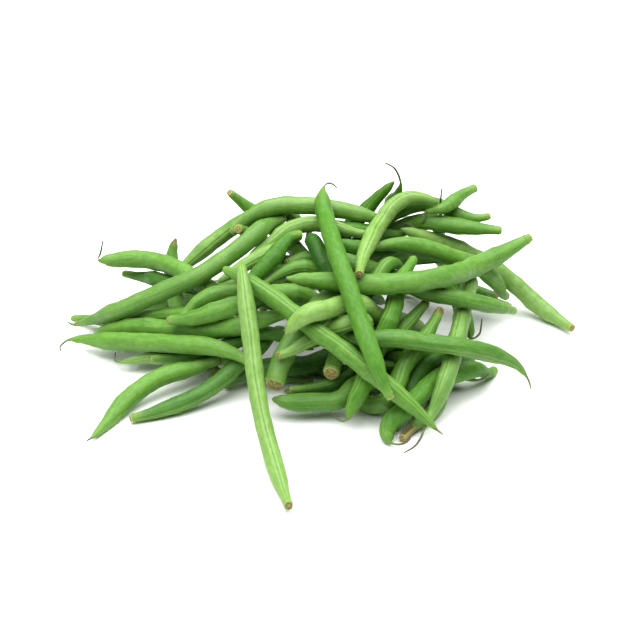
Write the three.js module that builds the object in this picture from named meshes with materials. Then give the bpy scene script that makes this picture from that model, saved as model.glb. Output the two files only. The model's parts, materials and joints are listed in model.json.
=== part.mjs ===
// A loose heap of fresh green beans, as it falls when a handful is tipped out on a table.
// Every bean is one closed body: a cut or snapped stem end, a long pod with a seam ridge down one
// side, a pointed tip and, on many, the thin dry tail of the flower. Millimetres, +Z up, with the
// table at Z = 0 and the middle of the heap's footprint at the origin.

import * as THREE from 'three';

// Driving dimensions of a pod.
const POD_WIDTH = 9.0;
const FLATNESS = 0.92;
const SECTION_SIDES = 8;
const STEM_TAPER = 26;
const TIP_TAPER = 24;
const STEM_SHARE = 0.46;
const TIP_SHARE = 0.16;
const TAILED_POINT = 0.7;
const BLUNT_POINT = 0.5;
const BLUNT_TIP_TAPER = 12;
const TAIL_RADIUS = 0.75;
const TAIL_END_RADIUS = 0.4;
const STEM_NECK = 4;
const STEM_BULGE = 0.4;
const TIP_BULGE = 0.6;

// The skins that the pods come in, from a young pale one to a dark bluish one.
const SKIN_COLOURS = { pale_green: 0x9ccb5e, mid_green: 0x7ab246, deep_green: 0x5c9a3c };
const SKIN_ROUGHNESS = 0.5;

// Share of the pod's length, from the stem, at which a section is drawn, and the same for the tail.
const POD_STATIONS = [0, 0.035, 0.09, 0.17, 0.26, 0.36, 0.46, 0.56, 0.66, 0.76, 0.85, 0.92, 0.965, 1];
const TAIL_STATIONS = [0.34, 0.67, 1];

// The heap as one looks at it: where the eye is, and the square picture in which the pods' seen
// points are read.
const PICTURE_MIDDLE = 320;
const PICTURE_FOCAL = 1458;
const VIEW_ELEVATION = THREE.MathUtils.degToRad(35);
const VIEW_DISTANCE = 700;
const AIM_HEIGHT = 25;
const SEARCH_FROM = 540;

// The outer shape that the heap starts from, before the pods settle on each other.
const HEAP_HEIGHT = 62;
const HEAP_HALF_WIDTH = 118;
const HEAP_HALF_DEPTH = 78;
const HEAP_MIDDLE_Y = 12;
const DEEPEST_LAYER = 34;
const LEAN_BACK = 16;
const STRAIGHTENING = 10;
const STRAIGHTENING_SHARE = 0.6;
const SHORTEST_POD = 80;
const POD_LENGTH_SPREAD = 20;
const HIDDEN_STRIDE = 12;
const HIDDEN_DIP = 0.45;
const HIDDEN_REACH = 0.72;
const TURN_IN = 0.5;
const STEEPEST = 0.8;

// Settling: the clearance that the pods keep, and how readily they give way.
const GAP = 0.4;
const SETTLE_STEPS = 900;
const SIDEWAYS_GIVE = 0.2;
const STIFFNESS = 0.35;
const HOLD = 0.012;
const PUSH_SHARE = 0.7;
const LONGEST_PUSH = 3;
const LEAST_GIVE = 0.05;
const TOUCHING = 0.05;
const CROSSED = 0.6;
const FARTHEST_STATION = 14;
const FALL = new THREE.Vector3(0, -0.03, -0.07);
const EASING_UNTIL = 0.9;
const REST_SHARE = Math.cos(Math.PI / SECTION_SIDES) * FLATNESS;

// The pods, from the bottom of the heap to its top, each from its stem end to its tip. A pod lies on
// the lines of sight through its seen points, given right and down in the picture, and goes on through
// its unseen ones, given in millimetres. One whose end is hidden is carried on to its whole length.
const PODS = [
  { name: 'back_foot_left',
    unseen: [[-104, 36, 3.5], [-70, 54, 3.5], [-32, 64, 3.5], [10, 68, 3.5]] },
  { name: 'back_foot_right',
    unseen: [[92, 52, 3.5], [68, 62, 3.5], [36, 70, 3.5], [-4, 82, 3.5]] },
  { name: 'back_slope_left', skin: 'deep_green',
    unseen: [[-44, 50, 14], [-8, 58, 18], [30, 56, 25], [68, 50, 28]] },
  { name: 'back_slope_right',
    unseen: [[96, 30, 14], [62, 44, 16], [22, 50, 24], [-26, 48, 32]] },
  { name: 'back_slope_down',
    unseen: [[-36, 26, 52], [-31, 48, 42], [-26, 70, 20], [-22, 94, 2.5]] },
  { name: 'back_left_far', hidden: 'tip', width: 8.4,
    seen: [[228, 189], [242, 200], [257, 211], [272, 222], [290, 236], [306, 250]] },
  { name: 'back_left_stub',
    unseenStem: [[-50, -12, 10]],
    seen: [[183, 312], [177, 300], [173, 285], [171, 265], [171, 250], [175, 236]] },
  { name: 'left_lower', skin: 'deep_green', hidden: 'tip', width: 7.6,
    seen: [[125, 272], [142, 275], [160, 276.5], [180, 280], [205, 287], [230, 296], [250, 302]] },
  { name: 'back_right_far', hidden: 'tip', width: 7.6,
    seen: [[490, 216.5], [474, 220], [455, 215], [438, 206], [422, 201], [405, 203], [390, 210]] },
  { name: 'back_right_tail',
    unseenStem: [[78, 108, 5], [70, 92, 12], [62, 72, 32]],
    seen: [[443, 206]],
    tail: [[443.5, 198], [444.5, 184]] },
  { name: 'back_pointed', skin: 'deep_green', hidden: 'stem',
    seen: [[322, 238], [336, 228], [350, 216], [365, 203], [380, 189], [394, 177]] },
  { name: 'back_top_tail', skin: 'deep_green',
    unseenStem: [[20, 106, 5], [27, 90, 16], [34, 72, 36]],
    seen: [[403, 194], [404, 184]],
    tail: [[402, 177], [399, 171], [394, 166], [387, 163]] },
  { name: 'right_second', hidden: 'tip',
    seen: [[499, 229], [480, 227], [460, 224.5], [440, 221], [420, 217], [403, 216], [385, 217]] },
  { name: 'left_top', skin: 'pale_green', hidden: 'tip', blunt: true,
    seen: [[172, 276], [183, 266], [193, 257], [206, 246], [220, 235], [235, 224], [250, 215],
      [266, 209], [284, 207]] },
  { name: 'left_far', hidden: 'stem', blunt: true,
    seen: [[228, 294], [207, 284], [190, 275], [173, 268], [158, 263], [143, 260], [128, 260],
      [112, 261], [99, 260]],
    tail: [[101, 252], [103, 241]] },
  { name: 'front_floor', hidden: 'stem', blunt: true,
    seen: [[420, 372], [400, 383], [380, 392], [360, 399], [340, 403], [320, 405.5], [302, 406],
      [285, 404], [272, 400]],
    tail: [[279, 398], [288, 396]] },
  { name: 'front_floor_cut', skin: 'deep_green', hidden: 'tip', width: 7.6,
    seen: [[294, 392], [310, 392], [330, 390], [350, 386], [372, 379], [392, 370]] },
  { name: 'front_floor_back', skin: 'deep_green', hidden: 'both',
    seen: [[248, 372], [268, 372], [290, 371], [310, 371], [330, 370], [350, 367], [372, 360],
      [392, 350]] },
  { name: 'right_floor_tail', hidden: 'stem',
    seen: [[395, 338], [412, 345], [430, 354], [448, 364], [463, 371], [476, 375]],
    tail: [[482, 373], [488, 368]] },
  { name: 'right_hook_tail', skin: 'deep_green', hidden: 'stem', blunt: true,
    seen: [[455, 262], [462, 280], [467, 297], [470, 313], [473, 328], [475, 336]],
    tail: [[480, 335], [483, 327], [484, 317]] },
  { name: 'front_left_floor', hidden: 'stem',
    seen: [[216, 352], [200, 359], [182, 366], [165, 372], [150, 380], [135, 391], [120, 406],
      [106, 423], [92, 437]],
    tail: [[87, 440.5]] },
  { name: 'front_left_second', hidden: 'tip', width: 8.4,
    seen: [[130, 418], [150, 413], [170, 406], [190, 398], [210, 386.5], [230, 370], [246, 354],
      [262, 338], [278, 322]] },
  { name: 'left_curled_tail', skin: 'pale_green', hidden: 'stem', width: 8.4,
    seen: [[222, 342], [200, 346], [180, 349], [162, 351], [145, 353.5], [131, 357], [119, 359.5]],
    tail: [[114, 358], [115, 350]] },
  { name: 'left_thin', skin: 'deep_green', hidden: 'tip', width: 7,
    seen: [[152, 357], [168, 356], [186, 355], [206, 351], [226, 344], [246, 335], [266, 326]] },
  { name: 'left_long_tail',
    seen: [[252, 362], [243, 357], [230, 351], [215, 346], [200, 343], [180, 341.5], [160, 340.5],
      [140, 338.5], [120, 337.5], [100, 337], [85, 336.5], [70, 338]],
    tail: [[64, 342], [61, 346], [62, 350]] },
  { name: 'left_behind', hidden: 'tip', width: 7.6,
    seen: [[72, 318], [95, 319], [120, 320], [145, 317], [165, 314.5], [185, 314], [205, 316],
      [225, 319], [243, 322]] },
  { name: 'centre_arc',
    seen: [[286, 258], [303, 251], [320, 249], [340, 254], [360, 261], [380, 268], [400, 275],
      [418, 283]] },
  { name: 'centre_dark_tail', skin: 'deep_green',
    seen: [[322, 243], [340, 246], [356, 249], [373, 251], [390, 251], [402, 249]],
    tail: [[407, 246], [405, 240]] },
  { name: 'centre_under', width: 8.4,
    seen: [[262, 284], [275, 275], [290, 268], [305, 265.5], [320, 268], [338, 275], [356, 284]] },
  { name: 'top_dark_tail', skin: 'deep_green', hidden: 'stem', width: 8,
    seen: [[297, 222], [315, 222], [335, 225], [355, 227], [375, 229.5], [395, 232], [412, 232]],
    tail: [[416, 228], [410, 224], [400, 222]] },
  { name: 'top_under', skin: 'pale_green', width: 8.4,
    seen: [[368, 236], [354, 235], [338, 231.5], [320, 229], [303, 229], [287, 231], [273, 237],
      [259, 246], [246, 257]] },
  { name: 'left_inner', skin: 'pale_green', width: 8.4,
    seen: [[300, 236], [288, 243], [275, 249], [262, 256], [248, 264], [234, 273], [218, 284]] },
  { name: 'left_ring_end', skin: 'deep_green',
    seen: [[303, 236], [293, 237], [283, 246], [273, 259], [262, 270], [250, 281], [238, 293]] },
  { name: 'centre_dark', skin: 'deep_green', hidden: 'tip', width: 8,
    seen: [[310, 223], [315, 238], [321, 252], [328, 268], [335, 285], [342, 302], [350, 318]] },
  { name: 'left_leaf', hidden: 'stem', width: 8.4,
    seen: [[219, 281], [211, 286], [202, 292], [194, 300], [187, 311], [180, 324]] },
  { name: 'left_middle',
    seen: [[292, 309], [268, 315], [243, 320], [215, 325], [190, 326], [165, 326], [140, 327],
      [115, 330], [92, 334]] },
  { name: 'left_joined', hidden: 'tip',
    seen: [[171, 321], [185, 320.5], [200, 318.5], [215, 314.5], [230, 309], [245, 302], [262, 293],
      [282, 284], [300, 279]] },
  { name: 'right_brown_left',
    seen: [[434, 303], [420, 322], [405, 342], [391, 361]],
    unseenTip: [[22, -24, 9], [2, -12, 9], [-20, -6, 8]] },
  { name: 'right_brown',
    seen: [[443, 307], [432, 329], [419, 350], [405, 371]],
    unseenTip: [[32, -38, 7], [12, -28, 5], [-10, -22, 5]] },
  { name: 'front_right_brown', width: 8,
    seen: [[401, 434], [411, 423], [423, 409], [436, 392]],
    unseenTip: [[52, -16, 12], [36, 2, 12], [14, 12, 12]] },
  { name: 'front_right_dark', skin: 'deep_green', hidden: 'stem', width: 8,
    seen: [[428, 363], [420, 378], [411, 394], [404, 409], [400, 424], [398, 434]] },
  { name: 'front_right_hook', skin: 'deep_green', hidden: 'stem', blunt: true,
    seen: [[425, 370], [413, 386], [402, 398], [392, 410], [386, 421], [384, 432], [389, 441]],
    tail: [[398, 443], [405, 441], [409, 437]] },
  { name: 'front_cut_wide', skin: 'pale_green', hidden: 'tip', width: 9.6, cut: true,
    seen: [[276, 383], [281, 366], [290, 347], [304, 326], [320, 304], [337, 289], [352, 276]] },
  { name: 'front_cut_small', hidden: 'tip', width: 8.4, cut: true,
    seen: [[334, 375], [340, 356], [347, 336], [356, 315], [366, 298], [377, 280], [386, 264]] },
  { name: 'front_upright', skin: 'deep_green', hidden: 'stem', blunt: true,
    seen: [[411, 258], [402, 270], [392, 287], [383, 307], [376, 328], [369, 348], [362, 369],
      [355, 391], [348, 409], [345, 419]],
    tail: [[340, 421], [334, 417], [331, 413]] },
  { name: 'right_upright', skin: 'pale_green',
    seen: [[470, 266], [466, 285], [462, 305], [457, 328], [451, 350], [444, 372], [436, 394],
      [429, 413], [423, 427]],
    tail: [[419, 438], [412, 447], [403, 452]] },
  { name: 'top_arch', skin: 'pale_green', hidden: 'tip',
    seen: [[233, 234], [243, 225], [255, 216.5], [270, 210.5], [290, 208.5], [310, 209], [330, 211.5],
      [350, 215], [370, 219.5], [388, 225]] },
  { name: 'right_long', skin: 'pale_green',
    seen: [[570, 330], [556, 322], [540, 312], [522, 299], [503, 282], [485, 266], [467, 253],
      [450, 242], [432, 232], [415, 226], [400, 222.5]] },
  { name: 'right_long_second', hidden: 'tip',
    seen: [[510, 292], [492, 282], [472, 271], [450, 261], [430, 252], [410, 246], [392, 243],
      [372, 243]] },
  { name: 'right_thin', hidden: 'tip', width: 8,
    seen: [[513, 311.5], [495, 308], [475, 304], [455, 299.5], [435, 296], [415, 291], [395, 285],
      [375, 277]] },
  { name: 'right_arched_tail', hidden: 'stem',
    seen: [[340, 312], [356, 317], [373, 322], [390, 326], [410, 331], [430, 337], [450, 342],
      [470, 347], [490, 352], [506, 358], [518, 366], [526, 376]],
    tail: [[529, 382], [530, 388]] },
  { name: 'front_bright_under', skin: 'pale_green', width: 8.4,
    seen: [[274, 353], [286, 349], [300, 339], [318, 329], [338, 321], [352, 316]],
    unseenTip: [[20, -2, 24], [25, 10, 14]] },
  { name: 'front_diagonal',
    seen: [[227, 267], [245, 275], [268, 288], [300, 309], [335, 335], [365, 362], [395, 389],
      [420, 412], [437, 429]],
    tail: [[443, 434]] },
  { name: 'front_bright', skin: 'pale_green', hidden: 'stem', blunt: true,
    seen: [[356, 296], [342, 304], [325, 312], [308, 318], [295, 326], [286, 337]] },
  { name: 'across_long', width: 9.8,
    seen: [[529, 239], [512, 249], [495, 258.5], [475, 268.5], [450, 278], [420, 284.5], [390, 287],
      [360, 286], [330, 282.5], [300, 280], [286, 279]] },
  { name: 'left_long', skin: 'pale_green',
    seen: [[286, 219], [274, 225], [260, 234], [240, 249], [220, 264], [200, 277], [180, 286],
      [165, 292], [150, 299], [130, 308], [115, 314], [100, 319], [86, 323], [75, 326]],
    tail: [[68, 323]] },
  { name: 'top_hook', skin: 'pale_green', hidden: 'tip',
    seen: [[357.5, 281], [362, 262], [370, 245], [380, 226], [390, 212], [401, 203], [413, 199.5],
      [426, 201], [438, 206]] },
  { name: 'right_top', behind: [24, 18, 12, 6, 0],
    seen: [[474, 188], [460, 195], [448, 203], [436, 208], [425, 211]],
    tail: [[425, 214], [424, 219], [421, 223]] },
  { name: 'top_upright', skin: 'deep_green', width: 8.6, blunt: true,
    seen: [[390, 399], [380, 380], [370, 354], [362, 330], [354, 306], [346, 283], [338, 260],
      [331, 237], [325, 215], [322, 199], [324, 188]],
    tail: [[328, 184], [333, 185], [337, 189]] },
  { name: 'front_long', skin: 'pale_green', width: 8.8,
    seen: [[289, 507], [281, 485], [271, 452], [263, 422], [257, 388], [252, 347], [247, 306],
      [244, 280], [242, 262]] },
];

const forward = new THREE.Vector3(0, Math.cos(VIEW_ELEVATION), -Math.sin(VIEW_ELEVATION));
const right = new THREE.Vector3(1, 0, 0);
const up = new THREE.Vector3().crossVectors(right, forward);
const eye = new THREE.Vector3(0, 0, AIM_HEIGHT).addScaledVector(forward, -VIEW_DISTANCE);

function sightLine([across, down]) {
  return forward.clone()
    .addScaledVector(right, (across - PICTURE_MIDDLE) / PICTURE_FOCAL)
    .addScaledVector(up, (PICTURE_MIDDLE - down) / PICTURE_FOCAL)
    .normalize();
}

function heapHeight(x, y) {
  const share = (x / HEAP_HALF_WIDTH) ** 2 + ((y - HEAP_MIDDLE_Y) / HEAP_HALF_DEPTH) ** 2;
  return Math.max(HEAP_HEIGHT * (1 - share), 0);
}

// Where a sight line meets the heap's outer shape, less the layer's drop, or passes just behind it.
function onHeap(picturePoint, drop, radius, behind) {
  const line = sightLine(picturePoint);
  const toTable = (radius - eye.z) / line.z;
  const at = (distance) => eye.clone().addScaledVector(line, distance);
  const above = (distance) => at(distance).z - heapHeight(at(distance).x, at(distance).y);
  let distance = SEARCH_FROM;
  const isOutside = () => above(distance) > 0 && above(distance + 1) < above(distance);
  while (distance < toTable && isOutside()) distance += 1;
  if (above(distance) > 0) return at(Math.min(distance + LEAN_BACK + behind, toTable));
  let through = distance;
  while (through < toTable && above(through) <= 0) through += 1;
  return at(Math.min(distance + Math.min(drop, (through - distance) / 2), toTable));
}

// A pod's stations: where each lies, how thick the pod is there and which way it may be lifted.
function layOut(pod, order) {
  const half = (pod.width ?? POD_WIDTH) / 2;
  const drop = DEEPEST_LAYER * (1 - order / (PODS.length - 1));
  const isSeen = (point) => point.length === 2;
  const place = (point, behind) => {
    if (isSeen(point)) return onHeap(point, drop, half * REST_SHARE, behind);
    return new THREE.Vector3(...point);
  };
  const route = pod.unseen ?? [...(pod.unseenStem ?? []), ...pod.seen, ...(pod.unseenTip ?? [])];
  const points = route.map((point, n) => ({ at: place(point, pod.behind?.[n] ?? 0), seen: isSeen(point) }));
  if (pod.hidden) addHiddenEnds(points, pod.hidden, order);
  const body = new THREE.CatmullRomCurve3(points.map((point) => point.at), false, 'centripetal');
  const length = body.getLength();
  const stations = POD_STATIONS.map((share) => {
    const at = body.getPointAt(share);
    const { seen } = points[Math.round(body.getUtoTmapping(share) * (points.length - 1))];
    const radius = half * podShare(pod, share * length, (1 - share) * length);
    return { at, radius, seen, lift: liftDirection(at, seen) };
  });
  if (pod.tail) {
    const tailRoute = [route.at(-1), ...pod.tail].map((point) => place(point, 0));
    const tail = new THREE.CatmullRomCurve3(tailRoute, false, 'centripetal');
    for (const share of TAIL_STATIONS) {
      const at = tail.getPointAt(share);
      const radius = THREE.MathUtils.lerp(TAIL_RADIUS, TAIL_END_RADIUS, share);
      stations.push({ at, radius, seen: true, lift: liftDirection(at, true) });
    }
  }
  for (let pass = 0; pass < STRAIGHTENING; pass++) straighten(stations);
  for (const station of stations) station.start = station.at.clone();
  const seam = (order * 3) % SECTION_SIDES;
  const falls = route.some(isSeen);
  return { name: pod.name, stations, seam, falls, skin: pod.skin ?? 'mid_green' };
}

// A pod is stiff: evens out how far from the eye its stations lie, between its two ends.
function straighten(stations) {
  const far = stations.map((station) => station.at.distanceTo(eye));
  for (let k = 1; k + 1 < stations.length; k++) {
    const move = ((far[k - 1] + far[k + 1]) / 2 - far[k]) * STRAIGHTENING_SHARE;
    stations[k].at.addScaledVector(stations[k].at.clone().sub(eye).normalize(), move);
  }
}

// Carries a pod on under its neighbours, at a growing depth below the heap's outer shape, until it
// has a pod's whole length.
function addHiddenEnds(points, which, order) {
  const wanted = SHORTEST_POD + (order * 7) % POD_LENGTH_SPREAD;
  const stretch = (n) => points[n + 1].at.distanceTo(points[n].at);
  const length = () => points.slice(1).reduce((sum, _, n) => sum + stretch(n), 0);
  let fromTip = which !== 'stem';
  while (length() < wanted) {
    const [end, before] = fromTip ? [points.at(-1).at, points.at(-2).at] : [points[0].at, points[1].at];
    const heading = new THREE.Vector2(end.x - before.x, end.y - before.y).normalize();
    const stride = Math.min(HIDDEN_STRIDE, wanted - length() + 1);
    const inward = new THREE.Vector2(-end.x, HEAP_MIDDLE_Y - end.y).normalize();
    const spread = Math.hypot(end.x / HEAP_HALF_WIDTH, (end.y - HEAP_MIDDLE_Y) / HEAP_HALF_DEPTH);
    const leaves = spread > HIDDEN_REACH && heading.dot(inward) < TURN_IN;
    if (leaves) heading.addScaledVector(inward, TURN_IN).normalize();
    const x = end.x + heading.x * stride;
    const y = end.y + heading.y * stride;
    const depth = Math.max(heapHeight(end.x, end.y) - end.z, 0) + HIDDEN_DIP * stride;
    const z = Math.max(heapHeight(x, y) - Math.min(depth, DEEPEST_LAYER), POD_WIDTH / 2);
    const most = stride * STEEPEST;
    const next = new THREE.Vector3(x, y, THREE.MathUtils.clamp(z, end.z - most, end.z + most));
    if (fromTip) points.push({ at: next, seen: false });
    else points.unshift({ at: next, seen: false });
    if (which === 'both') fromTip = !fromTip;
  }
}

// A pod that shows in the picture is lifted towards the eye, and a hidden one away from the heap.
function liftDirection(at, seen) {
  if (seen) return eye.clone().sub(at).normalize();
  const outX = at.x / HEAP_HALF_WIDTH ** 2;
  const outY = (at.y - HEAP_MIDDLE_Y) / HEAP_HALF_DEPTH ** 2;
  return new THREE.Vector3(outX, outY, 1 / HEAP_HALF_WIDTH).normalize();
}

// How thick a pod is, as a share of its greatest radius: a neck at the stem, unless it is cut off
// there, and a point at the tip.
function podShare(pod, fromStem, fromTip) {
  const { lerp, smoothstep } = THREE.MathUtils;
  const neck = lerp(STEM_SHARE, 1, smoothstep(fromStem, -STEM_NECK, STEM_TAPER));
  const point = pod.tail && !pod.blunt ? TAILED_POINT : BLUNT_POINT;
  const taper = pod.blunt ? BLUNT_TIP_TAPER : TIP_TAPER;
  const tip = lerp(TIP_SHARE, 1, Math.min(fromTip / taper, 1) ** point);
  return Math.min(pod.cut ? 1 : neck, tip);
}

// The closest points of two stretches, as shares along them.
function closestShares(a, b, c, d) {
  const first = b.clone().sub(a);
  const second = d.clone().sub(c);
  const between = a.clone().sub(c);
  const aa = first.dot(first);
  const bb = second.dot(second);
  const ab = first.dot(second);
  const ac = first.dot(between);
  const bc = second.dot(between);
  const clamp = THREE.MathUtils.clamp;
  const spread = aa * bb - ab * ab;
  let s = spread > 1e-9 ? clamp((ab * bc - ac * bb) / spread, 0, 1) : 0.5;
  let t = clamp((ab * s + bc) / bb, 0, 1);
  s = clamp((ab * t - ac) / aa, 0, 1);
  t = clamp((ab * s + bc) / bb, 0, 1);
  return [s, t];
}

// Moves a station by a push, freely along its lift direction and a little to the side.
function give(station, direction, amount) {
  const along = direction.dot(station.lift);
  station.at.addScaledVector(direction, amount * SIDEWAYS_GIVE);
  station.at.addScaledVector(station.lift, amount * (1 - SIDEWAYS_GIVE) * along);
}

function giveShare(direction, station) {
  const along = direction.dot(station.lift);
  return SIDEWAYS_GIVE + (1 - SIDEWAYS_GIVE) * along * along;
}

function boxOf(pod) {
  const box = new THREE.Box3().setFromPoints(pod.stations.map((station) => station.at));
  return box.expandByScalar(POD_WIDTH / 2 + 1);
}

// Pushes two pods apart wherever they are closer than their radii and the gap allow. The later pod
// lies over the earlier one where their routes cross.
function partPods(lower, upper) {
  let worst = 0;
  for (let i = 0; i + 1 < lower.stations.length; i++) {
    const [p, q] = [lower.stations[i], lower.stations[i + 1]];
    for (let j = 0; j + 1 < upper.stations.length; j++) {
      const [m, n] = [upper.stations[j], upper.stations[j + 1]];
      const reach = p.radius + q.radius + m.radius + n.radius + FARTHEST_STATION;
      if (Math.abs(p.at.x - m.at.x) > reach || Math.abs(p.at.y - m.at.y) > reach) continue;
      if (Math.abs(p.at.z - m.at.z) > reach) continue;
      const [s, t] = closestShares(p.at, q.at, m.at, n.at);
      const lowerRadius = THREE.MathUtils.lerp(p.radius, q.radius, s);
      const upperRadius = THREE.MathUtils.lerp(m.radius, n.radius, t);
      const need = GAP + lowerRadius + upperRadius;
      const from = p.at.clone().lerp(q.at, s);
      const to = m.at.clone().lerp(n.at, t);
      const apart = to.sub(from);
      const distance = apart.length();
      const lift = m.lift.clone().add(p.lift).normalize();
      const above = apart.dot(lift);
      const wrongSide = p.seen && m.seen && above < -CROSSED * distance;
      if (distance >= need) continue;
      const direction = distance > TOUCHING ? apart.divideScalar(distance) : lift.clone();
      let missing = need - distance;
      if (wrongSide) {
        direction.negate();
        missing = need + distance;
      }
      worst = Math.max(worst, missing);
      const shares = [[p, 1 - s, -1], [q, s, -1], [m, 1 - t, 1], [n, t, 1]];
      let total = 0;
      for (const [station, share] of shares) total += share * share * giveShare(direction, station);
      const step = PUSH_SHARE * Math.min(missing, LONGEST_PUSH) / Math.max(total, LEAST_GIVE);
      for (const [station, share, sign] of shares) give(station, direction, sign * share * step);
    }
  }
  return worst;
}

// Spreads each pod's displacement along it, so that it bends gently and keeps its length.
function easeShape(pod) {
  const moved = pod.stations.map((station) => station.at.clone().sub(station.start));
  const last = moved.length - 1;
  pod.stations.forEach((station, k) => {
    const before = moved[Math.max(k - 1, 0)];
    const after = moved[Math.min(k + 1, last)];
    const mean = before.clone().add(after).multiplyScalar(0.5).sub(moved[k]);
    station.at.addScaledVector(mean, STIFFNESS);
    if (station.seen) station.at.addScaledVector(moved[k], -HOLD);
    else if (pod.falls) station.at.add(FALL);
    else station.at.addScaledVector(moved[k], -HOLD);
  });
}

function keepOffTable(pod) {
  for (const station of pod.stations) {
    const lowest = station.radius * REST_SHARE;
    if (station.at.z < lowest) station.at.z = lowest;
  }
}

function settle(pods) {
  let worst = 0;
  for (let step = 0; step < SETTLE_STEPS; step++) {
    worst = 0;
    if (step < SETTLE_STEPS * EASING_UNTIL) pods.forEach(easeShape);
    const boxes = pods.map(boxOf);
    for (let i = 0; i < pods.length; i++) {
      for (let j = i + 1; j < pods.length; j++) {
        if (boxes[i].intersectsBox(boxes[j])) worst = Math.max(worst, partPods(pods[i], pods[j]));
      }
    }
    pods.forEach(keepOffTable);
  }
  return worst;
}

// The closed skin of a pod: an eight-sided section at each station, a flat facet of it downwards,
// with a ridge along the seam, and a low point at either end.
function podGeometry(pod) {
  const centres = pod.stations.map((station) => station.at);
  const last = centres.length - 1;
  const seamAngle = (pod.seam + 0.5) * 2 * Math.PI / SECTION_SIDES;
  const vertices = [];
  const along = centres.map((_, k) => {
    const before = centres[Math.max(k - 1, 0)];
    return centres[Math.min(k + 1, last)].clone().sub(before).normalize();
  });
  pod.stations.forEach(({ at, radius }, k) => {
    const side = new THREE.Vector3().crossVectors(along[k], new THREE.Vector3(0, 0, 1)).normalize();
    const top = new THREE.Vector3().crossVectors(side, along[k]);
    for (let n = 0; n < SECTION_SIDES; n++) {
      const angle = (n + 0.5) * 2 * Math.PI / SECTION_SIDES;
      const reach = radius * THREE.MathUtils.lerp(FLATNESS, 1, Math.cos(angle - seamAngle) ** 2);
      const corner = at.clone().addScaledVector(side, Math.sin(angle) * reach);
      vertices.push(corner.addScaledVector(top, Math.cos(angle) * reach));
    }
  });
  const stemBulge = -STEM_BULGE * pod.stations[0].radius;
  const tipBulge = TIP_BULGE * pod.stations[last].radius;
  const stemEnd = vertices.push(centres[0].clone().addScaledVector(along[0], stemBulge)) - 1;
  const tipEnd = vertices.push(centres[last].clone().addScaledVector(along[last], tipBulge)) - 1;
  const faces = [];
  for (let k = 0; k <= last; k++) {
    for (let n = 0; n < SECTION_SIDES; n++) {
      const next = (n + 1) % SECTION_SIDES;
      const [a, b] = [k * SECTION_SIDES + n, k * SECTION_SIDES + next];
      if (k === 0) faces.push(stemEnd, b, a);
      const [c, d] = [a + SECTION_SIDES, b + SECTION_SIDES];
      if (k === last) faces.push(tipEnd, a, b);
      else faces.push(a, b, d, a, d, c);
    }
  }
  const geometry = new THREE.BufferGeometry();
  const values = vertices.flatMap((vertex) => [vertex.x, vertex.y, Math.max(vertex.z, 0)]);
  geometry.setAttribute('position', new THREE.Float32BufferAttribute(values, 3));
  geometry.setIndex(faces);
  geometry.computeVertexNormals();
  return geometry;
}

const pods = PODS.map(layOut);
settle(pods);
const heap = new THREE.Group();
for (const pod of pods) {
  const color = SKIN_COLOURS[pod.skin];
  const skin = new THREE.MeshStandardMaterial({ color, roughness: SKIN_ROUGHNESS, metalness: 0 });
  const mesh = new THREE.Mesh(podGeometry(pod), skin);
  mesh.name = pod.name;
  heap.add(mesh);
}

// Puts the middle of the footprint at the origin.
const footprint = new THREE.Box3().setFromObject(heap).getCenter(new THREE.Vector3());
for (const mesh of heap.children) mesh.geometry.translate(-footprint.x, -footprint.y, 0);

export default heap;
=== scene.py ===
# A loose heap of fresh green beans on a pale table. Metres, +Z up.
# Straight pods are modelled once, then a copy of one is bent along the middle line of every bean.
import bpy
import bmesh
import json
import math
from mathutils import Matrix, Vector


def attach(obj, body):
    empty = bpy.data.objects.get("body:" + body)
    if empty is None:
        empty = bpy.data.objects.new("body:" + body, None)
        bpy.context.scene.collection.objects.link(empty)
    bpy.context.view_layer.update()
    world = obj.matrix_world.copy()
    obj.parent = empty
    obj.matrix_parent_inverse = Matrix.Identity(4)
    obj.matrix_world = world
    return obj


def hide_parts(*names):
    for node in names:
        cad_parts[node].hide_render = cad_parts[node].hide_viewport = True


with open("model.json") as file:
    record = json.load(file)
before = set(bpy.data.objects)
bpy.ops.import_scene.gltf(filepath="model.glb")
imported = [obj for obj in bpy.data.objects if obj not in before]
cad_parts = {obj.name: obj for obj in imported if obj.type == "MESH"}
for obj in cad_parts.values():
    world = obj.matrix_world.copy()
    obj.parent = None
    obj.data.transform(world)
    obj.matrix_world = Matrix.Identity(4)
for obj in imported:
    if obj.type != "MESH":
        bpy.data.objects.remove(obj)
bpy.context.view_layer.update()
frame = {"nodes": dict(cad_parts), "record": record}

# How the heap is seen.
VIEW_ELEVATION = 35.0
VIEW_DISTANCE = 0.700
AIM = (0.00009, 0.00403, 0.025)
LENS = 82.0
SENSOR = 36.0

# The studio: a light's place, how far it is across, and its watts.
WINDOW = ((-0.8, -0.4, 1.3), 1.6, 17.0)
CEILING = ((0.2, 0.25, 1.7), 2.8, 100.0)
ROOM_GLOW = 0.03
BACKDROP_GLOW = 1.0
TABLE_SIZE = 2.6
TABLE_HEIGHT = -0.0002
TABLE_WHITE = (0.95, 0.95, 0.95, 1.0)
TABLE_ROUGHNESS = 0.9
TABLE_GLOSS = 0.1

# The CAD solid of a bean: sides round it, stretches along its pod, and the ring at its middle.
SOLID_SIDES = 8
POD_STRETCHES = 13
MIDDLE_RING = 6
JOIN_DISTANCE = 1e-6

# The straight pod: a unit long and a unit in radius, its seams on top and below.
POD_SIDES = 32
POD_RINGS = 64
END_CUTS = 2
END_STRETCH = 0.05
WHOLE_LENGTH = 0.5
SHORTEST_EDGE = 1e-4
SMOOTH_ANGLE = math.radians(50)

# Its section: the sunk groove of each seam and the lip on either side.
FLATNESS = 0.93
GROOVE_DEPTH = 0.965
GROOVE_REACH = 0.01
LIP_HEIGHT = 1.014
LIP_REACH = 0.02
LIPS_ABOVE = 0.5

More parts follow.
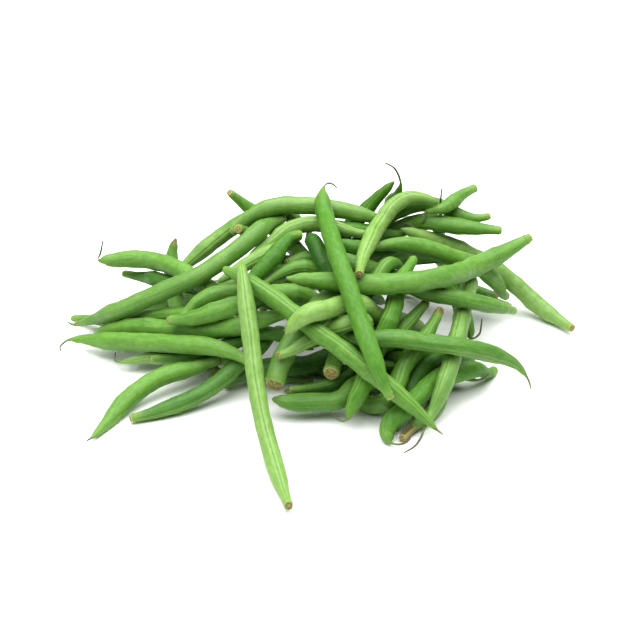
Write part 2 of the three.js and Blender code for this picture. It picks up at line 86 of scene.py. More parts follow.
# The bumps over its seeds.
SEED_PLACES = (0.14, 0.25, 0.36, 0.47, 0.58, 0.69, 0.80)
SEED_REACH = 0.034
PLAIN_SEEDS = 1.04
PROUD_SEEDS = 1.08

# Its stem end: the stalk, the collar that the flower left, and the broken face, sunk round its core.
END_FACE = 0.001
STALK_LENGTH = 0.0125
STALK_WIDTH = 0.90
COLLAR_END = 0.024
COLLAR_WIDTH = 1.06
FACE_WIDTH = 0.96
RIM_WIDTH = 0.16
RIM_SINK = 0.004
CORE_EDGE = 0.3
CORE_RISE = 0.006

# Its dry tail, which narrows at one step in three.
TAIL_STEPS = 10
TAIL_STEP = 0.1
TAIL_NARROWING = 0.96
TAIL_EVEN_STEPS = 3

# How a copy follows a bean's middle line: how sharp a turn is eased, and how much in each sweep.
SKIN_SHRINK = 0.985
CURVE_STEPS = 12
KINK = math.radians(15)
EASING_SWEEPS = 2
EASING_SHARE = 0.15
LEAST_HEIGHT = 0.00005
LEAST_LENGTH = 1e-6

# The shallow lumps of the skin, which fade out towards both ends.
LUMP_HEIGHT = 0.0006
LUMP_SIZE = 0.007
LUMP_MIDDLE = 0.56
LUMP_FADE = 0.08

# How light each pod's skin is within its own shade, from 0 to 1. The others vary about a middling value.
TONES = {
    "front_long": 0.72, "front_bright": 1.0, "top_hook": 0.9, "top_upright": 1.0, "across_long": 0.65,
    "front_diagonal": 0.60, "right_upright": 0.30, "left_long": 0.10, "top_arch": 0.35,
    "left_ring_end": 0.5, "front_cut_wide": 0.1, "front_cut_small": 0.5, "front_upright": 0.95,
    "right_long": 0.7, "right_arched_tail": 0.25, "front_left_second": 0.0, "left_long_tail": 0.8,
    "front_floor_back": 0.1, "front_floor_cut": 0.1, "centre_dark": 0.0, "front_right_dark": 0.1,
    "left_far": 0.8, "right_thin": 0.5, "left_middle": 0.6, "front_left_floor": 0.8,
    "front_floor": 0.2, "front_right_hook": 0.9, "left_top": 0.4, "back_right_far": 0.6,
}
LEAST_TONE = 0.35
TONE_SPREAD = 0.3
TONE_STEP = 0.618

# Where a pod's seam shows, in degrees from facing the eye, to the right as one looks from its stem
# end to its tip. The others have their seams at the two edges.
SEAMS = {
    "front_long": 4, "front_diagonal": -24, "right_upright": 18, "top_hook": -12, "left_top": 0,
    "right_arched_tail": 46, "right_brown_left": 16, "left_curled_tail": 6, "front_bright": -42,
    "front_upright": 34, "back_pointed": 4, "left_inner": -8, "top_dark_tail": 10, "right_brown": 30,
    "front_left_second": 52, "left_behind": 30, "front_floor_cut": -20, "top_under": 40,
    "centre_under": 15, "right_second": -45, "back_slope_left": 20, "back_foot_right": -25,
    "back_slope_down": 12, "back_right_tail": 60, "front_cut_small": -30, "front_bright_under": 20,
}
EDGE_SEAM = 90

# The pods whose seeds stand proud.
BUMPY = ("front_diagonal", "right_brown", "front_upright", "across_long", "left_middle", "right_long",
         "front_cut_wide", "back_slope_left", "left_joined", "right_upright")

# How far, in metres, a pod is dry and brown from its stem end and from its tip.
BROWN_ENDS = {
    "right_brown": (0.007, 0.0), "right_brown_left": (0.005, 0.0), "front_right_brown": (0.016, 0.0),
    "left_joined": (0.003, 0.0), "front_bright_under": (0.002, 0.0), "left_long": (0.0, 0.005),
    "back_left_stub": (0.0, 0.004), "front_diagonal": (0.0, 0.002),
}

# The pods whose bends stay as sharp as the solid's: hooked ones, and those with close neighbours.
SHARP_BENDS = ("front_bright", "top_hook", "front_right_hook", "front_bright_under", "right_brown",
               "front_floor", "left_top", "back_left_far", "right_brown_left", "front_floor_back",
               "right_thin", "front_right_brown", "front_floor_cut", "right_long_second")

# How far a pod's cut face turns towards the eye.
CUT_FACES_TO_EYE = {"front_cut_wide": 0.9, "front_cut_small": 0.2, "front_bright_under": 0.4}

# The shades of skin: the darkest and the lightest green, and how glossy it is.
SKINS = {
    "pale_green": ((0.062, 0.188, 0.015, 1.0), (0.215, 0.380, 0.080, 1.0), 0.46),
    "mid_green": ((0.029, 0.118, 0.006, 1.0), (0.128, 0.298, 0.034, 1.0), 0.36),
    "deep_green": ((0.014, 0.076, 0.005, 1.0), (0.086, 0.245, 0.020, 1.0), 0.26),
}

# The colours of seams, ends and marks, which all shades share.
PALE_SEAM = (0.20, 0.38, 0.06, 1.0)
DARK_SEAM = (0.04, 0.12, 0.008, 1.0)
STEM_GREEN = (0.17, 0.31, 0.05, 1.0)
CUT_RIM = (0.42, 0.39, 0.14, 1.0)
CUT_CORE = (0.19, 0.14, 0.045, 1.0)
TAIL_GREEN = (0.11, 0.20, 0.055, 1.0)
DRY_BROWN = (0.09, 0.07, 0.045, 1.0)
SCAR_BROWN = (0.20, 0.12, 0.04, 1.0)
BROWN_DARK = (0.05, 0.025, 0.008, 1.0)
BROWN_LIGHT = (0.34, 0.27, 0.08, 1.0)

# How strongly each mark takes its colour. The skin group has these as inputs.
MARK_STRENGTHS = {
    "Freckling": 0.42, "Mottling": 0.36, "Lip Paleness": 0.28, "Seam Darkness": 0.66, "Scarring": 0.75,
}
LIP_EDGE_STRENGTH = 0.20
STEM_STRENGTH = 0.7
TIP_STRENGTH = 0.35
BROWN_STRENGTH = 0.9

# Where each mark fades, in metres from the stem end or the tip: where it is 0, then where it is 1.
STEM_FADE = (0.009, 0.001)
CUT_FADE = (0.0007, 0.0002)
TIP_FADE = (0.012, 0.001)
TAIL_FADE = (0.0015, -0.0015)
DRY_FADE = (0.0, -0.009)
SCAR_FROM_STEM = (0.004, 0.012)
SCAR_FROM_TIP = (0.001, 0.012)

# The noises of the skin: waves per centimetre along the pod and per radius across it, then how many
# finer waves lie on them and how strong those are.
SEAM_BENDS = ((0.6, 0.0, 0.0), 2.0, 0.5)
SEAM_BREAKS = ((3.0, 0.0, 0.0), 3.0, 0.6)
STREAKS = ((0.35, 5.0, 5.0), 5.0, 0.62)
CLOUDS = ((0.65, 1.04, 1.04), 2.0, 0.5)
FRECKLES = ((10.0, 6.0, 6.0), 3.0, 0.65)
MOTTLES = ((3.0, 2.4, 2.4), 5.0, 0.72)
SCAR_EDGES = ((8.0, 9.0, 9.0), 4.0, 0.7)
RIDGES = ((1.0, 14.0, 14.0), 3.0, 0.6)
PORES = ((22.0, 16.0, 16.0), 2.0, 0.6)
FIBRES = ((0.0, 4.0, 4.0), 3.0, 0.7)
RAGGED_BROWN = ((5.0, 3.0, 3.0), 4.0, 0.65)
SCAR_SPACING = (0.55, 1.1, 1.1)

# The seam's marks, in radii: how near the top or foot of the section, then how far off the groove.
SEAM_SIDES = (0.55, 0.75)
SEAM_WANDER = 0.20
SEAM_LINE = (0.13, 0.03)
SEAM_LIPS = (0.42, 0.24)
LIP_EDGE_PLACE = 0.42
LIP_EDGE_WIDTH = (0.07, 0.0)
BREAK_LIMITS = (0.25, 0.60)
BREAK_DEPTH = 0.6

# The skin's colour pattern, with the limits that make each noise a mask.
STREAK_SHARE = 0.6
LIGHTNESS_FROM_TONE = 0.55
LIGHTNESS_FROM_STREAKS = 1.5
LIGHTNESS_LIMITS = (0.50, 1.35)
FRECKLE_LIMITS = (0.50, 0.68)
MOTTLE_LIMITS = (0.38, 0.62)
SCAR_SIZE = (0.13, 0.05)
SCAR_EDGE_LIMITS = (0.36, 0.55)
BROWN_STREAKS = (0.38, 0.60)
BROWN_RAGGEDNESS = 1.6
BROWN_LIMITS = (0.25, 0.55)
BROWN_START = (0.0, 0.1)
CORE_FADE = (0.86, 0.62)
FIBRE_LIMITS = (0.38, 0.56)
FIBRE_DEPTH = 0.8

# The skin's finish.
ROUGHNESS = 0.42
STREAK_ROUGHNESS = 0.20
DRY_ROUGHNESS = 0.3
RIDGE_SHARE = 0.6
SEAM_SINK = 0.8
RELIEF_STRENGTH = 0.5
RELIEF_HEIGHT = 0.0003
SOFTNESS = 0.12
SOFT_COLOUR = (0.6, 1.0, 0.25)
SOFT_DEPTH = 0.0015

# Lengths go into the skin's patterns in centimetres, and each bean's pattern starts further on.
CENTIMETRES = 100
PATTERN_SHIFT = 37.0


def deselect_all():
    bpy.ops.object.select_all(action="DESELECT")


def make_active(piece):
    deselect_all()
    piece.select_set(True)
    bpy.context.view_layer.objects.active = piece


def clear_selection(mesh):
    for part in (mesh.verts, mesh.edges, mesh.faces):
        for item in part:
            item.select = False


def select_points(pod, wanted):
    """Selects, in edit mode, the points of a pod that a test picks."""
    mesh = bmesh.from_edit_mesh(pod.data)
    clear_selection(mesh)
    for point in mesh.verts:
        point.select = bool(wanted(point.co))
    mesh.select_flush_mode()
    bmesh.update_edit_mesh(pod.data)


def select_end_face(pod, wanted):
    """Selects, in edit mode, the round face that closes one end of a pod."""
    mesh = bmesh.from_edit_mesh(pod.data)
    for face in mesh.faces:
        face.select_set(len(face.verts) > 4 and wanted(face.calc_center_median().x))
    bmesh.update_edit_mesh(pod.data)


def widen(width):
    """Grows or shrinks what is selected about the pod's middle line."""
    bpy.ops.transform.resize(value=(1.0, width, width), center_override=(0.0, 0.0, 0.0))


def swell(pod, wanted, width):
    """Widens or narrows the points of a pod that a test picks."""
    select_points(pod, wanted)
    widen(width)


def raise_seed(pod, place, width):
    """A smooth bump over one seed."""
    select_points(pod, lambda at: abs(at.x - place) < 0.5 / POD_RINGS)
    bpy.ops.transform.resize(
        value=(1.0, width, width), center_override=(0.0, 0.0, 0.0), use_proportional_edit=True,
        proportional_edit_falloff="SMOOTH", proportional_size=SEED_REACH,
    )


def model_straight_pod(name, seed_width, tailed):
    """A pod with its stem end at x = 0 and its tip at x = 1, and the dry tail on to x = 2."""
    deselect_all()
    bpy.ops.mesh.primitive_cylinder_add(
        vertices=POD_SIDES, radius=1.0, depth=1.0, location=(0.5, 0.0, 0.0),
        rotation=(0.0, math.pi / 2, 0.0),
    )
    pod = bpy.context.object
    pod.name = name
    bpy.ops.object.transform_apply(location=True, rotation=True, scale=True)
    bpy.ops.object.mode_set(mode="EDIT")
    bpy.ops.mesh.select_mode(type="EDGE")
    cut_long_edges(pod, lambda low, high: high - low > WHOLE_LENGTH, POD_RINGS - 1)
    cut_long_edges(pod, lambda low, high: low < END_STRETCH, END_CUTS)
    cut_long_edges(pod, lambda low, high: high > 1 - END_STRETCH, END_CUTS)
    bpy.ops.mesh.select_mode(type="VERT")
    shape_section(pod)
    for place in SEED_PLACES:
        raise_seed(pod, place, seed_width)
    shape_stem_end(pod)
    if tailed:
        draw_tail(pod)
    bpy.ops.object.mode_set(mode="OBJECT")
    bpy.ops.object.shade_smooth_by_angle(angle=SMOOTH_ANGLE)
    return pod


def cut_long_edges(pod, wanted, cuts):
    """Cuts the edges that run along a pod, where a test picks them by their two ends."""
    mesh = bmesh.from_edit_mesh(pod.data)
    clear_selection(mesh)
    for edge in mesh.edges:
        low, high = sorted(end.co.x for end in edge.verts)
        if high - low > SHORTEST_EDGE and wanted(low, high):
            edge.select_set(True)
    bmesh.update_edit_mesh(pod.data)
    bpy.ops.mesh.subdivide(number_cuts=cuts)


def shape_section(pod):
    """Narrows the pod across its seams, sinks the grooves of both seams and raises their lips."""
    bpy.ops.mesh.select_all(action="SELECT")
    bpy.ops.transform.resize(value=(1.0, FLATNESS, 1.0), center_override=(0.0, 0.0, 0.0))
    lip = math.sin(2 * math.pi / POD_SIDES) * FLATNESS
    swell(pod, lambda at: abs(at.y) < GROOVE_REACH, GROOVE_DEPTH)
    swell(pod, lambda at: abs(abs(at.y) - lip) < LIP_REACH and abs(at.z) > LIPS_ABOVE, LIP_HEIGHT)


def shape_stem_end(pod):
    """The faint collar that the flower left, the short stalk and its broken face."""
    swell(pod, lambda at: at.x < STALK_LENGTH, STALK_WIDTH)
    swell(pod, lambda at: STALK_LENGTH <= at.x < COLLAR_END, COLLAR_WIDTH)
    swell(pod, lambda at: at.x < END_FACE, FACE_WIDTH)
    bpy.ops.mesh.select_mode(type="FACE")
    select_end_face(pod, lambda along: along < END_FACE)
    bpy.ops.mesh.inset(thickness=RIM_WIDTH)
    bpy.ops.transform.translate(value=(RIM_SINK, 0.0, 0.0))
    bpy.ops.mesh.inset(thickness=CORE_EDGE)
    bpy.ops.transform.translate(value=(-CORE_RISE, 0.0, 0.0))
    bpy.ops.mesh.select_mode(type="VERT")


def draw_tail(pod):
    """Draws the tip face out into the thin dry tail."""
    bpy.ops.mesh.select_mode(type="FACE")
    select_end_face(pod, lambda along: along > 1 - END_FACE)
    for step in range(TAIL_STEPS):
        bpy.ops.mesh.extrude_region_move(TRANSFORM_OT_translate={"value": (TAIL_STEP, 0.0, 0.0)})
        widen(TAIL_NARROWING if step % TAIL_EVEN_STEPS == 0 else 1.0)
    bpy.ops.mesh.select_mode(type="VERT")


def solid_rings(node):
    """The rings of a bean's CAD solid, from its stem end to its tip, as lists of places."""
    solid = bmesh.new()
    solid.from_mesh(node.data)
    bmesh.ops.remove_doubles(solid, verts=solid.verts, dist=JOIN_DISTANCE)
    solid.verts.index_update()
    ends = [point for point in solid.verts if len(point.link_edges) == SOLID_SIDES]

    def around(end):
        return [edge.other_vert(end) for edge in end.link_edges]

    def spread(end):
        return max((point.co - end.co).length for point in around(end))

    stem = max(ends, key=spread)
    seen = {stem}
    ring = around(stem)
    rings = []
    while len(ring) == SOLID_SIDES:
        rings.append([point.co.copy() for point in ring])
        seen.update(ring)
        following = {edge.other_vert(point) for point in ring for edge in point.link_edges} - seen
        ring = sorted(following, key=lambda point: point.index)
    solid.free()
    return rings


def seam_turn(name, centres):
    """How far the seam is turned from straight up, about the pod's middle line."""
    middle = centres[MIDDLE_RING]
    along = (centres[MIDDLE_RING + 1] - centres[MIDDLE_RING - 1]).normalized()
    side = along.cross(Vector((0, 0, 1))).normalized()
    top = side.cross(along)
    to_eye = eye_place() - middle
    facing = math.atan2(to_eye.dot(side), to_eye.dot(top))
    return facing + math.radians(SEAMS.get(name, EDGE_SEAM))


def eye_place():
    tilt = math.radians(VIEW_ELEVATION)
    return Vector(AIM) + Vector((0.0, -math.cos(tilt), math.sin(tilt))) * VIEW_DISTANCE


def ease_kinks(centres):
    """Rounds off the corners of a pod's middle line where it turns too sharply, but not its tail's."""
    for sweep in range(EASING_SWEEPS):
        for k in range(1, POD_STRETCHES):
            before = centres[k] - centres[k - 1]
            after = centres[k + 1] - centres[k]
            if before.angle(after) > KINK:
                centres[k] = centres[k].lerp((centres[k - 1] + centres[k + 1]) / 2, EASING_SHARE)


def middle_line(name, rings):
    """A curve through the middles of a solid's rings, as thick at each as the solid."""
    centres = [sum(ring, Vector()) / SOLID_SIDES for ring in rings]
    radii = [max((place - centre).length for place in ring) for ring, centre in zip(rings, centres)]
    turn = seam_turn(name, centres)
    if name not in SHARP_BENDS:
        ease_kinks(centres)
    line = bpy.data.curves.new(name + "_line", "CURVE")
    line.dimensions = "3D"
    line.twist_mode = "Z_UP"
    line.resolution_u = CURVE_STEPS
    spline = line.splines.new("BEZIER")
    spline.bezier_points.add(len(centres) - 1)
    spline.radius_interpolation = "CARDINAL"
    last = len(centres) - 1
    for k, point in enumerate(spline.bezier_points):
        before = centres[max(k - 1, 0)]
        after = centres[min(k + 1, last)]
        heading = (after - before).normalized()
        if k == 0:
            to_eye = (eye_place() - centres[0]).normalized()
            heading = (heading - to_eye * CUT_FACES_TO_EYE.get(name, 0.0)).normalized()
        back = (centres[k] - before).length / 3
        ahead = (after - centres[k]).length / 3
        point.co = centres[k]
        point.handle_left_type = "FREE"
        point.handle_right_type = "FREE"
        point.handle_left = centres[k] - heading * back
        point.handle_right = centres[k] + heading * ahead
        point.radius = radii[k] * SKIN_SHRINK
        point.tilt = turn
    holder = bpy.data.objects.new(name + "_line", line)
    bpy.context.collection.objects.link(holder)
    return holder


def stretch_lengths(spline):
    """The length of each stretch between a curve's points, as Blender steps along it."""
    lengths = []
    points = spline.bezier_points
    for first, second in zip(points, points[1:]):
        p, q, r, s = first.co, first.handle_right, second.handle_left, second.co
        places = []
        for k in range(CURVE_STEPS + 1):
            t = k / CURVE_STEPS
            u = 1 - t
            places.append(p * u ** 3 + q * 3 * u * u * t + r * 3 * u * t * t + s * t ** 3)
        lengths.append(sum((b - a).length for a, b in zip(places, places[1:])))
    return lengths


def copy_pod(name, straight):
    """A copy of the straight pod with its own mesh."""
    pod = straight.copy()
    pod.data = straight.data.copy()
    pod.name = name + "_pod"
    pod.data.name = pod.name
    bpy.context.collection.objects.link(pod)
    return pod


def weigh_lumps(pod):
    """Lets the lumps fade out towards both ends of a straight pod."""
    lumpy = pod.vertex_groups.new(name="lumpy skin")
    for k, point in enumerate(pod.data.vertices):
        weight = min(point.co.x, 1.0 - point.co.x) / LUMP_FADE
        lumpy.add([k], min(max(weight, 0.0), 1.0), "REPLACE")


def measure_out(pod, name, lengths, tone, shift):
    """Stretches a straight pod to its real length, and notes where each point lies for its skin."""
    pod_length = sum(lengths[:POD_STRETCHES])
    tail_length = sum(lengths[POD_STRETCHES:])
    pod.data.attributes.new("pod_place", "FLOAT_VECTOR", "POINT")
    pod.data.attributes.new("pod_section", "FLOAT_VECTOR", "POINT")
    pod.data.attributes.new("pod_brown", "FLOAT", "POINT")
    place = pod.data.attributes["pod_place"]
    section = pod.data.attributes["pod_section"]
    brown = pod.data.attributes["pod_brown"]
    brown_from_stem, brown_from_tip = BROWN_ENDS.get(name, (0.0, 0.0))
    for k, point in enumerate(pod.data.vertices):
        share = point.co.x
        along = share * pod_length
        if share > 1.0:
            along = pod_length + (share - 1.0) * tail_length
        place.data[k].vector = (along, pod_length - along, tone)
        section.data[k].vector = (along * CENTIMETRES + shift, point.co.y, point.co.z)
        brown_stem = 1.0 - along / max(brown_from_stem, LEAST_LENGTH)
        brown_tip = 1.0 - (pod_length - along) / max(brown_from_tip, LEAST_LENGTH)
        brown.data[k].value = min(max(brown_stem, brown_tip, 0.0), 1.0)
        point.co.x = along


def lay_along(pod, holder):
    """Bends a pod along its middle line."""
    bend = pod.modifiers.new("bend", "CURVE")
    bend.object = holder
    bend.deform_axis = "POS_X"
    make_active(pod)
    bpy.ops.object.modifier_apply(modifier=bend.name)


def raise_lumps(pod, lumps):
    """Gives a bent pod its shallow lumps, and keeps it clear of the table."""
    lump = pod.modifiers.new("lumps", "DISPLACE")
    lump.texture = lumps
    lump.strength = LUMP_HEIGHT
    lump.mid_level = LUMP_MIDDLE
    lump.vertex_group = "lumpy skin"
    make_active(pod)
    bpy.ops.object.modifier_apply(modifier=lump.name)
    pod.vertex_groups.remove(pod.vertex_groups["lumpy skin"])
    for point in pod.data.vertices:
        point.co.z = max(point.co.z, LEAST_HEIGHT)


def bend_pod(name, straight, tone, shift, lumps):
    """A copy of the straight pod, bent along the middle line of a bean's CAD solid."""
    holder = middle_line(name, solid_rings(frame["nodes"][name]))
    line = holder.data
    pod = copy_pod(name, straight)
    weigh_lumps(pod)
    measure_out(pod, name, stretch_lengths(line.splines[0]), tone, shift)
    lay_along(pod, holder)
    raise_lumps(pod, lumps)
    bpy.data.objects.remove(holder)
    bpy.data.curves.remove(line)
    return pod


class Nodes:
    """Shorthand for adding and joining shader nodes."""

    def __init__(self, tree):
        self.tree = tree

    def add(self, kind, **settings):
        node = self.tree.nodes.new(kind)
        for key, value in settings.items():
            setattr(node, key, value)
        return node

    def put(self, value, socket):
        if isinstance(value, bpy.types.NodeSocket):
            self.tree.links.new(value, socket)
        else:
            socket.default_value = value

    def maths(self, operation, *values):
        node = self.add("ShaderNodeMath", operation=operation)
        for value, socket in zip(values, node.inputs):
            self.put(value, socket)
        return node.outputs[0]

    def plus(self, first, second):
        return self.maths("ADD", first, second)

    def minus(self, first, second):
        return self.maths("SUBTRACT", first, second)

    def times(self, first, second):
        return self.maths("MULTIPLY", first, second)

    def size(self, value):
        return self.maths("ABSOLUTE", value)

    def split(self, vector):
        node = self.add("ShaderNodeSeparateXYZ")
        self.put(vector, node.inputs[0])
        return node.outputs

    def ramp(self, value, limits):
        """0 at the first limit and 1 at the second, whichever of them is the greater."""
        low, high = min(limits), max(limits)
        ends = (0.0, 1.0) if limits[0] <= limits[1] else (1.0, 0.0)
        node = self.add("ShaderNodeMapRange", interpolation_type="SMOOTHSTEP")
        self.put(value, node.inputs["Value"])
        for key, limit in zip(("From Min", "From Max", "To Min", "To Max"), (low, high, *ends)):
            node.inputs[key].default_value = limit
        return node.outputs["Result"]

    def mix(self, share, first, second):
        node = self.add("ShaderNodeMix", data_type="RGBA")
        self.put(share, node.inputs["Factor"])
        self.put(first, node.inputs[6])
        self.put(second, node.inputs[7])
        return node.outputs[2]

    def stretched(self, where, grain):
        node = self.add("ShaderNodeMapping")
        self.put(where, node.inputs["Vector"])
        node.inputs["Scale"].default_value = grain
        return node.outputs["Vector"]

    def noise(self, where, pattern):
        grain, detail, roughness = pattern
        node = self.add("ShaderNodeTexNoise")
        self.put(self.stretched(where, grain), node.inputs["Vector"])
        node.inputs["Scale"].default_value = 1.0
        node.inputs["Detail"].default_value = detail
        node.inputs["Roughness"].default_value = roughness
        return node.outputs["Fac"]


def pod_places(n):
    """Where a point of the skin is: in metres from both ends, and in radii round the section."""
    place = n.add("ShaderNodeAttribute", attribute_name="pod_place").outputs["Vector"]
    section = n.add("ShaderNodeAttribute", attribute_name="pod_section").outputs["Vector"]
    from_stem, from_tip, tone = n.split(place)
    along, side, top = n.split(section)
    return {"from_stem": from_stem, "from_tip": from_tip, "tone": tone, "side": side, "top": top,
            "skin": section}


def seam_marks(n, at):
    """The broken dark line of a seam, the pale lips beside it and the faint outer edge of each."""
    wander = n.minus(n.noise(at["skin"], SEAM_BENDS), 0.5)
    off_seam = n.size(n.plus(at["side"], n.times(wander, SEAM_WANDER)))
    near_top = n.ramp(n.size(at["top"]), SEAM_SIDES)
    line = n.times(n.ramp(off_seam, SEAM_LINE), near_top)
    lips = n.times(n.ramp(off_seam, SEAM_LIPS), near_top)
    off_edge = n.size(n.minus(off_seam, LIP_EDGE_PLACE))
    lip_edges = n.times(n.ramp(off_edge, LIP_EDGE_WIDTH), near_top)
    breaks = n.ramp(n.noise(at["skin"], SEAM_BREAKS), BREAK_LIMITS)
    line = n.times(line, n.plus(n.times(breaks, BREAK_DEPTH), 1.0 - BREAK_DEPTH))
    return line, lips, lip_edges


def skin_streaks(n, at):
    """Long pale streaks, with soft clouds of light and dark."""
    streaks = n.noise(at["skin"], STREAKS)
    clouds = n.noise(at["skin"], CLOUDS)
    return n.plus(n.times(streaks, STREAK_SHARE), n.times(clouds, 1.0 - STREAK_SHARE))


def skin_scars(n, at):
    """Small rough brown scars, away from both ends."""
    cells = n.add("ShaderNodeTexVoronoi", feature="F1", voronoi_dimensions="3D")
    n.put(n.stretched(at["skin"], SCAR_SPACING), cells.inputs["Vector"])
    cells.inputs["Scale"].default_value = 1.0
    spots = n.ramp(cells.outputs["Distance"], SCAR_SIZE)
    rough_edge = n.ramp(n.noise(at["skin"], SCAR_EDGES), SCAR_EDGE_LIMITS)
    clear_of_ends = n.times(n.ramp(at["from_stem"], SCAR_FROM_STEM), n.ramp(at["from_tip"], SCAR_FROM_TIP))
    return n.times(n.times(spots, rough_edge), clear_of_ends)


def brown_end(n, at):
    """The ragged dry part of an end."""
    brown = n.add("ShaderNodeAttribute", attribute_name="pod_brown").outputs["Fac"]
    ragged = n.minus(n.noise(at["skin"], RAGGED_BROWN), 0.5)
    ragged = n.plus(brown, n.times(ragged, BROWN_RAGGEDNESS))
    return n.times(n.ramp(ragged, BROWN_LIMITS), n.ramp(brown, BROWN_START))


def cut_core(n, at):
    """The fibrous core of a cut face, inside its green rim."""
    squares = n.plus(n.maths("POWER", at["side"], 2.0), n.maths("POWER", at["top"], 2.0))
    off_middle = n.maths("POWER", squares, 0.5)
    fibres = n.ramp(n.noise(at["skin"], FIBRES), FIBRE_LIMITS)
    return n.times(n.ramp(off_middle, CORE_FADE), n.plus(n.times(fibres, FIBRE_DEPTH), 1.0 - FIBRE_DEPTH))


def skin_relief(n, at, line):
    """The skin's fine ridges and pores, sunk at the seam."""
    ridges = n.noise(at["skin"], RIDGES)
    pores = n.noise(at["skin"], PORES)
    relief = n.plus(n.times(ridges, RIDGE_SHARE), n.times(pores, 1.0 - RIDGE_SHARE))
    return n.minus(relief, n.times(line, SEAM_SINK))


def fresh_skin(n, at, given, streaks, seam):
    """Mottled green skin with its seams, paler at both ends."""
    line, lips, lip_edges = seam
    dark, light = given["Dark Skin"], given["Light Skin"]
    freckles = n.ramp(n.noise(at["skin"], FRECKLES), FRECKLE_LIMITS)
    mottling = n.ramp(n.noise(at["skin"], MOTTLES), MOTTLE_LIMITS)
    lightness = n.plus(n.times(at["tone"], LIGHTNESS_FROM_TONE), n.times(streaks, LIGHTNESS_FROM_STREAKS))
    colour = n.mix(n.ramp(lightness, LIGHTNESS_LIMITS), dark, light)
    colour = n.mix(n.times(freckles, given["Freckling"]), colour, light)
    colour = n.mix(n.times(mottling, given["Mottling"]), colour, dark)
    colour = n.mix(n.times(lips, given["Lip Paleness"]), colour, PALE_SEAM)
    colour = n.mix(n.times(lip_edges, LIP_EDGE_STRENGTH), colour, DARK_SEAM)
    colour = n.mix(n.times(line, given["Seam Darkness"]), colour, DARK_SEAM)
    colour = n.mix(n.times(n.ramp(at["from_stem"], STEM_FADE), STEM_STRENGTH), colour, STEM_GREEN)
    return n.mix(n.times(n.ramp(at["from_tip"], TIP_FADE), TIP_STRENGTH), colour, STEM_GREEN)


def aged_skin(n, at, given, streaks, colour, cut_face, dry):
    """Scars, brown ends, cut faces and the dry tail, laid over the fresh skin."""
    colour = n.mix(n.times(skin_scars(n, at), given["Scarring"]), colour, SCAR_BROWN)
    browned = n.mix(n.ramp(streaks, BROWN_STREAKS), BROWN_DARK, BROWN_LIGHT)
    colour = n.mix(n.times(brown_end(n, at), BROWN_STRENGTH), colour, browned)
    colour = n.mix(cut_face, colour, n.mix(cut_core(n, at), CUT_RIM, CUT_CORE))
    colour = n.mix(n.ramp(at["from_tip"], TAIL_FADE), colour, TAIL_GREEN)
    return n.mix(dry, colour, DRY_BROWN)


def bean_skin_group():
    """Bean skin in any shade: its colour, its roughness and its relief."""
    tree = bpy.data.node_groups.new("bean skin", "ShaderNodeTree")
    for name in ("Dark Skin", "Light Skin"):
        tree.interface.new_socket(name, in_out="INPUT", socket_type="NodeSocketColor")
    for name in MARK_STRENGTHS:
        tree.interface.new_socket(name, in_out="INPUT", socket_type="NodeSocketFloat")
    tree.interface.new_socket("Colour", in_out="OUTPUT", socket_type="NodeSocketColor")
    for name in ("Roughness", "Relief"):
        tree.interface.new_socket(name, in_out="OUTPUT", socket_type="NodeSocketFloat")
    n = Nodes(tree)
    given = n.add("NodeGroupInput").outputs
    at = pod_places(n)
    streaks = skin_streaks(n, at)
    seam = seam_marks(n, at)
    cut_face = n.ramp(at["from_stem"], CUT_FADE)
    dry = n.ramp(at["from_tip"], DRY_FADE)
    colour = fresh_skin(n, at, given, streaks, seam)
    colour = aged_skin(n, at, given, streaks, colour, cut_face, dry)
    roughness = n.plus(n.times(streaks, STREAK_ROUGHNESS), ROUGHNESS)
    roughness = n.plus(roughness, n.times(n.maths("MAXIMUM", dry, cut_face), DRY_ROUGHNESS))
    out = n.add("NodeGroupOutput").inputs
    n.put(colour, out["Colour"])
    n.put(roughness, out["Roughness"])
    n.put(skin_relief(n, at, seam[0]), out["Relief"])
    return tree


def skin_material(slot, skin_group):
    """Bean skin of one shade."""
    dark, light, gloss = SKINS[slot]
    material = bpy.data.materials.new(slot.replace("_", " ") + " skin")
    material.use_nodes = True
    n = Nodes(material.node_tree)
    skin = n.add("ShaderNodeGroup", node_tree=skin_group)
    n.put(dark, skin.inputs["Dark Skin"])
    n.put(light, skin.inputs["Light Skin"])
    for name, strength in MARK_STRENGTHS.items():
        n.put(strength, skin.inputs[name])
    bump = n.add("ShaderNodeBump")
    n.put(RELIEF_STRENGTH, bump.inputs["Strength"])
    n.put(RELIEF_HEIGHT, bump.inputs["Distance"])
    n.put(skin.outputs["Relief"], bump.inputs["Height"])
    shader = material.node_tree.nodes["Principled BSDF"].inputs
    n.put(skin.outputs["Colour"], shader["Base Color"])
    n.put(skin.outputs["Roughness"], shader["Roughness"])
    n.put(bump.outputs["Normal"], shader["Normal"])
    n.put(gloss, shader["Specular IOR Level"])
    n.put(SOFTNESS, shader["Subsurface Weight"])
    n.put(SOFT_COLOUR, shader["Subsurface Radius"])
    n.put(SOFT_DEPTH, shader["Subsurface Scale"])
    return material


def set_table():
    deselect_all()
    bpy.ops.mesh.primitive_plane_add(size=TABLE_SIZE, location=(0.0, 0.0, TABLE_HEIGHT))
    table = bpy.context.object
    table.name = "table"
    bpy.ops.object.transform_apply(location=True)
    white = bpy.data.materials.new("white table")
    white.use_nodes = True
    shader = white.node_tree.nodes["Principled BSDF"]
    shader.inputs["Base Color"].default_value = TABLE_WHITE
    shader.inputs["Roughness"].default_value = TABLE_ROUGHNESS
    shader.inputs["Specular IOR Level"].default_value = TABLE_GLOSS
    table.data.materials.append(white)


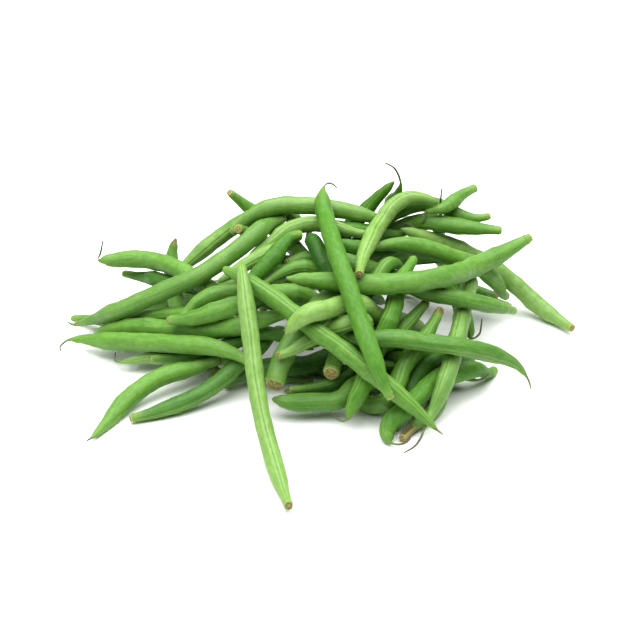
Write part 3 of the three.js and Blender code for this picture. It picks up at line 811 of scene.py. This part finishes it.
def soft_light(name, place, size, watts):
    lamp = bpy.data.lights.new(name, "AREA")
    lamp.shape = "DISK"
    lamp.size = size
    lamp.energy = watts
    holder = bpy.data.objects.new(name, lamp)
    holder.location = place
    holder.rotation_euler = (Vector(AIM) - Vector(place)).to_track_quat("-Z", "Y").to_euler()
    bpy.context.collection.objects.link(holder)


def light_studio():
    """Two soft lights, a faint glow from all round, and a white backdrop that lights nothing."""
    soft_light("window", *WINDOW)
    soft_light("ceiling", *CEILING)
    world = bpy.data.worlds.new("studio")
    world.use_nodes = True
    n = Nodes(world.node_tree)
    background = world.node_tree.nodes["Background"]
    background.inputs["Color"].default_value = (1.0, 1.0, 1.0, 1.0)
    backdrop = n.add("ShaderNodeMapRange")
    n.put(ROOM_GLOW, backdrop.inputs["To Min"])
    n.put(BACKDROP_GLOW, backdrop.inputs["To Max"])
    n.put(n.add("ShaderNodeLightPath").outputs["Is Camera Ray"], backdrop.inputs["Value"])
    n.put(backdrop.outputs["Result"], background.inputs["Strength"])
    bpy.context.scene.world = world
    bpy.context.scene.view_settings.view_transform = "Standard"


def place_camera():
    lens = bpy.data.cameras.new("camera")
    lens.lens = LENS
    lens.sensor_width = SENSOR
    camera = bpy.data.objects.new("camera", lens)
    camera.location = eye_place()
    camera.rotation_euler = (math.radians(90.0 - VIEW_ELEVATION), 0.0, 0.0)
    bpy.context.collection.objects.link(camera)
    bpy.context.scene.camera = camera


def model_straight_pods():
    """The four straight pods that all beans are copied from: plain or bumpy, without or with a tail."""
    return {
        (bumpy, tailed): model_straight_pod("straight pod", PROUD_SEEDS if bumpy else PLAIN_SEEDS, tailed)
        for bumpy in (False, True) for tailed in (False, True)
    }


def build_heap():
    skin_group = bean_skin_group()
    skins = {slot: skin_material(slot, skin_group) for slot in SKINS}
    straight = model_straight_pods()
    lumps = bpy.data.textures.new("lumps", "CLOUDS")
    lumps.noise_scale = LUMP_SIZE
    slots = {part["node"]: part["material_slot"] for part in frame["record"]["subparts"]}
    for k, name in enumerate(sorted(slots)):
        tailed = len(solid_rings(frame["nodes"][name])) > POD_STRETCHES + 1
        tone = TONES.get(name, LEAST_TONE + TONE_SPREAD * (k * TONE_STEP % 1.0))
        pod = bend_pod(name, straight[name in BUMPY, tailed], tone, k * PATTERN_SHIFT, lumps)
        pod.data.materials.clear()
        pod.data.materials.append(skins[slots[name]])
        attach(pod, "root")
        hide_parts(name)
    for master in straight.values():
        mesh = master.data
        bpy.data.objects.remove(master)
        bpy.data.meshes.remove(mesh)


place_camera()
light_studio()
set_table()
build_heap()
deselect_all()
